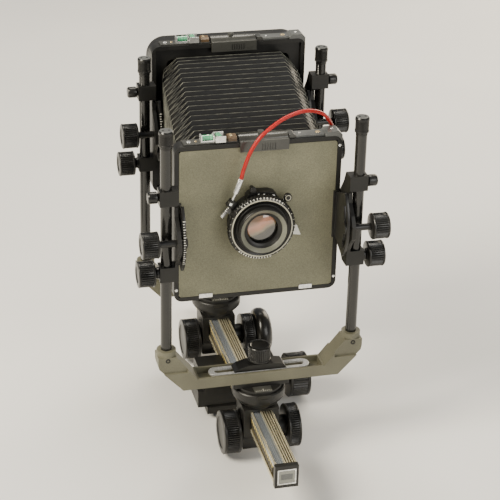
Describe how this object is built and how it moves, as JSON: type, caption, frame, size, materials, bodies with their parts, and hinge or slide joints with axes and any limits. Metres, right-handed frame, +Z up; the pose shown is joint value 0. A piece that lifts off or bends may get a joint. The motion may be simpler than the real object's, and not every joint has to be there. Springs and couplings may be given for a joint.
{
  "type": "monorail view camera",
  "caption": "Monorail view camera: two U-shaped standards with rise, shift, swing, tilt and focus, pleated bellows, shutter lens on a square board, cable release.",
  "frame": {"origin": "mouth of the tripod socket, in the middle of the rail clamp's foot", "axes": "+X across the camera towards the clamp knob, +Y along the rail from the lens to the back, +Z up"},
  "size_m": [0.272, 0.457, 0.3906],
  "materials": {
    "black_metal": "satin black enamel",
    "olive_metal": "fine-textured grey-black enamel with an olive cast",
    "post_metal": "semi-gloss black tube",
    "knob_black": "ribbed black plastic",
    "rail_alu": "drawn aluminium with bright ridges",
    "rack_dark": "dark scale strip with fine teeth",
    "bright_steel": "bright plated steel",
    "lens_board": "crinkle grey paint with an olive cast",
    "vial_green": "spirit level vial with green liquid",
    "lens_glass": "coated glass with warm reflections",
    "pointer_white": "white enamel",
    "cable_red": "red woven sheath",
    "bellows_black": "black pleated bellows leather",
    "ground_glass": "ground glass"
  },
  "bodies": {
    "clamp": {"clamp_body": "olive_metal", "clamp_jaw": "black_metal"},
    "clamp_knob": {"clamp_knob": "knob_black"},
    "rail": {"rail": "rail_alu", "rail_rack": "rack_dark", "rail_end_caps": "black_metal"},
    "front_bearer": {"front_bearer": "black_metal"},
    "front_focus_knob": {"front_focus_knob": "knob_black"},
    "front_lock_knob": {"front_lock_knob": "knob_black"},
    "front_swivel": {"front_swivel": "black_metal"},
    "front_shift_knob": {"front_shift_knob": "knob_black"},
    "front_u": {"front_u_bracket": "olive_metal", "front_shift_plate": "bright_steel", "front_posts": "post_metal", "front_post_caps": "knob_black"},
    "front_carriage": {"front_carriage": "olive_metal", "front_clip_knobs": "knob_black"},
    "front_rise_knobs": {"front_rise_knobs": "knob_black"},
    "front_tilt_knobs": {"front_tilt_knobs": "knob_black"},
    "front_frame": {"front_frame": "black_metal", "front_quadrants": "black_metal", "front_top_bar": "olive_metal", "front_vials": "vial_green", "lens_board": "lens_board", "board_clips": "bright_steel", "shutter": "black_metal", "lens_cells": "black_metal", "lens_glass": "lens_glass", "cable_ferrule": "bright_steel", "cable_sheath": "cable_red", "cable_grip": "bright_steel", "bellows": "bellows_black"},
    "front_latch": {"front_latch": "olive_metal"},
    "rear_bearer": {"rear_bearer": "black_metal"},
    "rear_focus_knob": {"rear_focus_knob": "knob_black"},
    "rear_lock_knob": {"rear_lock_knob": "knob_black"},
    "rear_swivel": {"rear_swivel": "black_metal"},
    "rear_shift_knob": {"rear_shift_knob": "knob_black"},
    "rear_u": {"rear_u_bracket": "olive_metal", "rear_shift_plate": "bright_steel", "rear_posts": "post_metal", "rear_post_caps": "knob_black"},
    "rear_carriage": {"rear_carriage": "olive_metal", "rear_clip_knobs": "knob_black"},
    "rear_rise_knobs": {"rear_rise_knobs": "knob_black"},
    "rear_tilt_knobs": {"rear_tilt_knobs": "knob_black"},
    "rear_frame": {"rear_frame": "black_metal", "rear_quadrants": "black_metal", "rear_top_bar": "olive_metal", "rear_vials": "vial_green", "back_frame": "black_metal", "back_springs": "bright_steel"},
    "rear_latch": {"rear_latch": "olive_metal"},
    "speed_ring": {"speed_ring": "black_metal"},
    "release_lever": {"release_lever": "bright_steel"},
    "cocking_lever": {"cocking_lever": "black_metal"},
    "aperture_pointer": {"aperture_pointer": "pointer_white"},
    "cable_plunger": {"cable_plunger": "bright_steel"},
    "glass_frame": {"glass_frame": "black_metal", "ground_glass": "ground_glass"}
  },
  "joints": [
    {"name": "clamp_knob_turn", "type": "hinge", "parent": "clamp", "child": "clamp_knob", "pos_m": [0.07, 0, 0.022], "axis": [1, 0, 0], "range_deg": [-180, 180]},
    {"name": "rail_slide", "type": "slide", "parent": "clamp", "child": "rail", "axis": [0, 1, 0], "range_m": [-0.022, 0.022]},
    {"name": "front_focus", "type": "slide", "parent": "rail", "child": "front_bearer", "axis": [0, 1, 0], "range_m": [-0.045, 0.011], "deforming": ["bellows"]},
    {"name": "front_focus_knob_turn", "type": "hinge", "parent": "front_bearer", "child": "front_focus_knob", "pos_m": [-0.03, -0.1015, 0.0225], "axis": [1, 0, 0], "range_deg": [-360, 100]},
    {"name": "front_lock_knob_turn", "type": "hinge", "parent": "front_bearer", "child": "front_lock_knob", "pos_m": [0.037, -0.1015, 0.0225], "axis": [1, 0, 0], "range_deg": [-120, 120]},
    {"name": "front_swing", "type": "hinge", "parent": "front_bearer", "child": "front_swivel", "pos_m": [0, -0.1015, 0.068], "axis": [0, 0, 1], "range_deg": [-15, 15], "deforming": ["bellows"]},
    {"name": "front_shift_knob_turn", "type": "hinge", "parent": "front_swivel", "child": "front_shift_knob", "pos_m": [0, -0.1015, 0.116], "axis": [0, 0, 1], "range_deg": [-120, 120]},
    {"name": "front_shift", "type": "slide", "parent": "front_swivel", "child": "front_u", "axis": [1, 0, 0], "range_m": [-0.025, 0.025], "deforming": ["bellows"]},
    {"name": "front_rise", "type": "slide", "parent": "front_u", "child": "front_carriage", "axis": [0, 0, 1], "range_m": [-0.03, 0.03], "deforming": ["bellows"]},
    {"name": "front_rise_knobs_turn", "type": "hinge", "parent": "front_carriage", "child": "front_rise_knobs", "pos_m": [0, -0.1015, 0.22], "axis": [1, 0, 0], "range_deg": [-120, 120]},
    {"name": "front_tilt", "type": "hinge", "parent": "front_carriage", "child": "front_frame", "pos_m": [0, -0.0715, 0.2585], "axis": [1, 0, 0], "range_deg": [-20, 20], "deforming": ["bellows"]},
    {"name": "front_tilt_knobs_turn", "type": "hinge", "parent": "front_carriage", "child": "front_tilt_knobs", "pos_m": [0, -0.1158, 0.2585], "axis": [1, 0, 0], "range_deg": [-120, 120]},
    {"name": "front_latch_lift", "type": "slide", "parent": "front_frame", "child": "front_latch", "axis": [0, 0, 1], "range_m": [0, 0.008]},
    {"name": "rear_focus", "type": "slide", "parent": "rail", "child": "rear_bearer", "axis": [0, 1, 0], "range_m": [-0.011, 0.045], "deforming": ["bellows"]},
    {"name": "rear_focus_knob_turn", "type": "hinge", "parent": "rear_bearer", "child": "rear_focus_knob", "pos_m": [-0.03, 0.1015, 0.0225], "axis": [1, 0, 0], "range_deg": [-100, 360]},
    {"name": "rear_lock_knob_turn", "type": "hinge", "parent": "rear_bearer", "child": "rear_lock_knob", "pos_m": [0.037, 0.1015, 0.0225], "axis": [1, 0, 0], "range_deg": [-120, 120]},
    {"name": "rear_swing", "type": "hinge", "parent": "rear_bearer", "child": "rear_swivel", "pos_m": [0, 0.1015, 0.068], "axis": [0, 0, 1], "range_deg": [-15, 15], "deforming": ["bellows"]},
    {"name": "rear_shift_knob_turn", "type": "hinge", "parent": "rear_swivel", "child": "rear_shift_knob", "pos_m": [0, 0.1015, 0.116], "axis": [0, 0, 1], "range_deg": [-120, 120]},
    {"name": "rear_shift", "type": "slide", "parent": "rear_swivel", "child": "rear_u", "axis": [1, 0, 0], "range_m": [-0.041, 0.009], "deforming": ["bellows"]},
    {"name": "rear_rise", "type": "slide", "parent": "rear_u", "child": "rear_carriage", "axis": [0, 0, 1], "range_m": [-0.0615, 0.0085], "deforming": ["bellows"]},
    {"name": "rear_rise_knobs_turn", "type": "hinge", "parent": "rear_carriage", "child": "rear_rise_knobs", "pos_m": [0.016, 0.1015, 0.2515], "axis": [1, 0, 0], "range_deg": [-120, 120]},
    {"name": "rear_tilt", "type": "hinge", "parent": "rear_carriage", "child": "rear_frame", "pos_m": [0.016, 0.1315, 0.29], "axis": [1, 0, 0], "range_deg": [-20, 20], "deforming": ["bellows"]},
    {"name": "rear_tilt_knobs_turn", "type": "hinge", "parent": "rear_carriage", "child": "rear_tilt_knobs", "pos_m": [0.016, 0.0872, 0.29], "axis": [1, 0, 0], "range_deg": [-120, 120]},
    {"name": "rear_latch_lift", "type": "slide", "parent": "rear_frame", "child": "rear_latch", "axis": [0, 0, 1], "range_m": [0, 0.008]},
    {"name": "speed_ring_turn", "type": "hinge", "parent": "front_frame", "child": "speed_ring", "pos_m": [0, -0.0895, 0.2585], "axis": [0, -1, 0], "range_deg": [-60, 60]},
    {"name": "release_lever_swing", "type": "hinge", "parent": "front_frame", "child": "release_lever", "pos_m": [0, -0.0895, 0.2585], "axis": [0, -1, 0], "range_deg": [0, 10], "stiffness_Nm_per_rad": 0.05, "springref_deg": -17.19},
    {"name": "cocking_lever_swing", "type": "hinge", "parent": "front_frame", "child": "cocking_lever", "pos_m": [0, -0.0895, 0.2585], "axis": [0, -1, 0], "range_deg": [-50, 0]},
    {"name": "aperture_pointer_swing", "type": "hinge", "parent": "front_frame", "child": "aperture_pointer", "pos_m": [0, -0.0895, 0.2585], "axis": [0, -1, 0], "range_deg": [-50, 20]},
    {"name": "cable_plunger_press", "type": "slide", "parent": "front_frame", "child": "cable_plunger", "axis": [0, 0, 1], "range_m": [0, 0.0115], "stiffness_N_per_m": 120, "springref_m": -0.01},
    {"name": "glass_frame_pull", "type": "slide", "parent": "rear_frame", "child": "glass_frame", "axis": [0, 1, 0], "range_m": [0, 0.013], "stiffness_N_per_m": 600, "springref_m": -0.02}
  ],
  "couplings": [
    {"joint": "front_focus_knob_turn", "follows": "front_focus", "rad_per_m": 135.14},
    {"joint": "rear_focus_knob_turn", "follows": "rear_focus", "rad_per_m": 135.14}
  ]
}
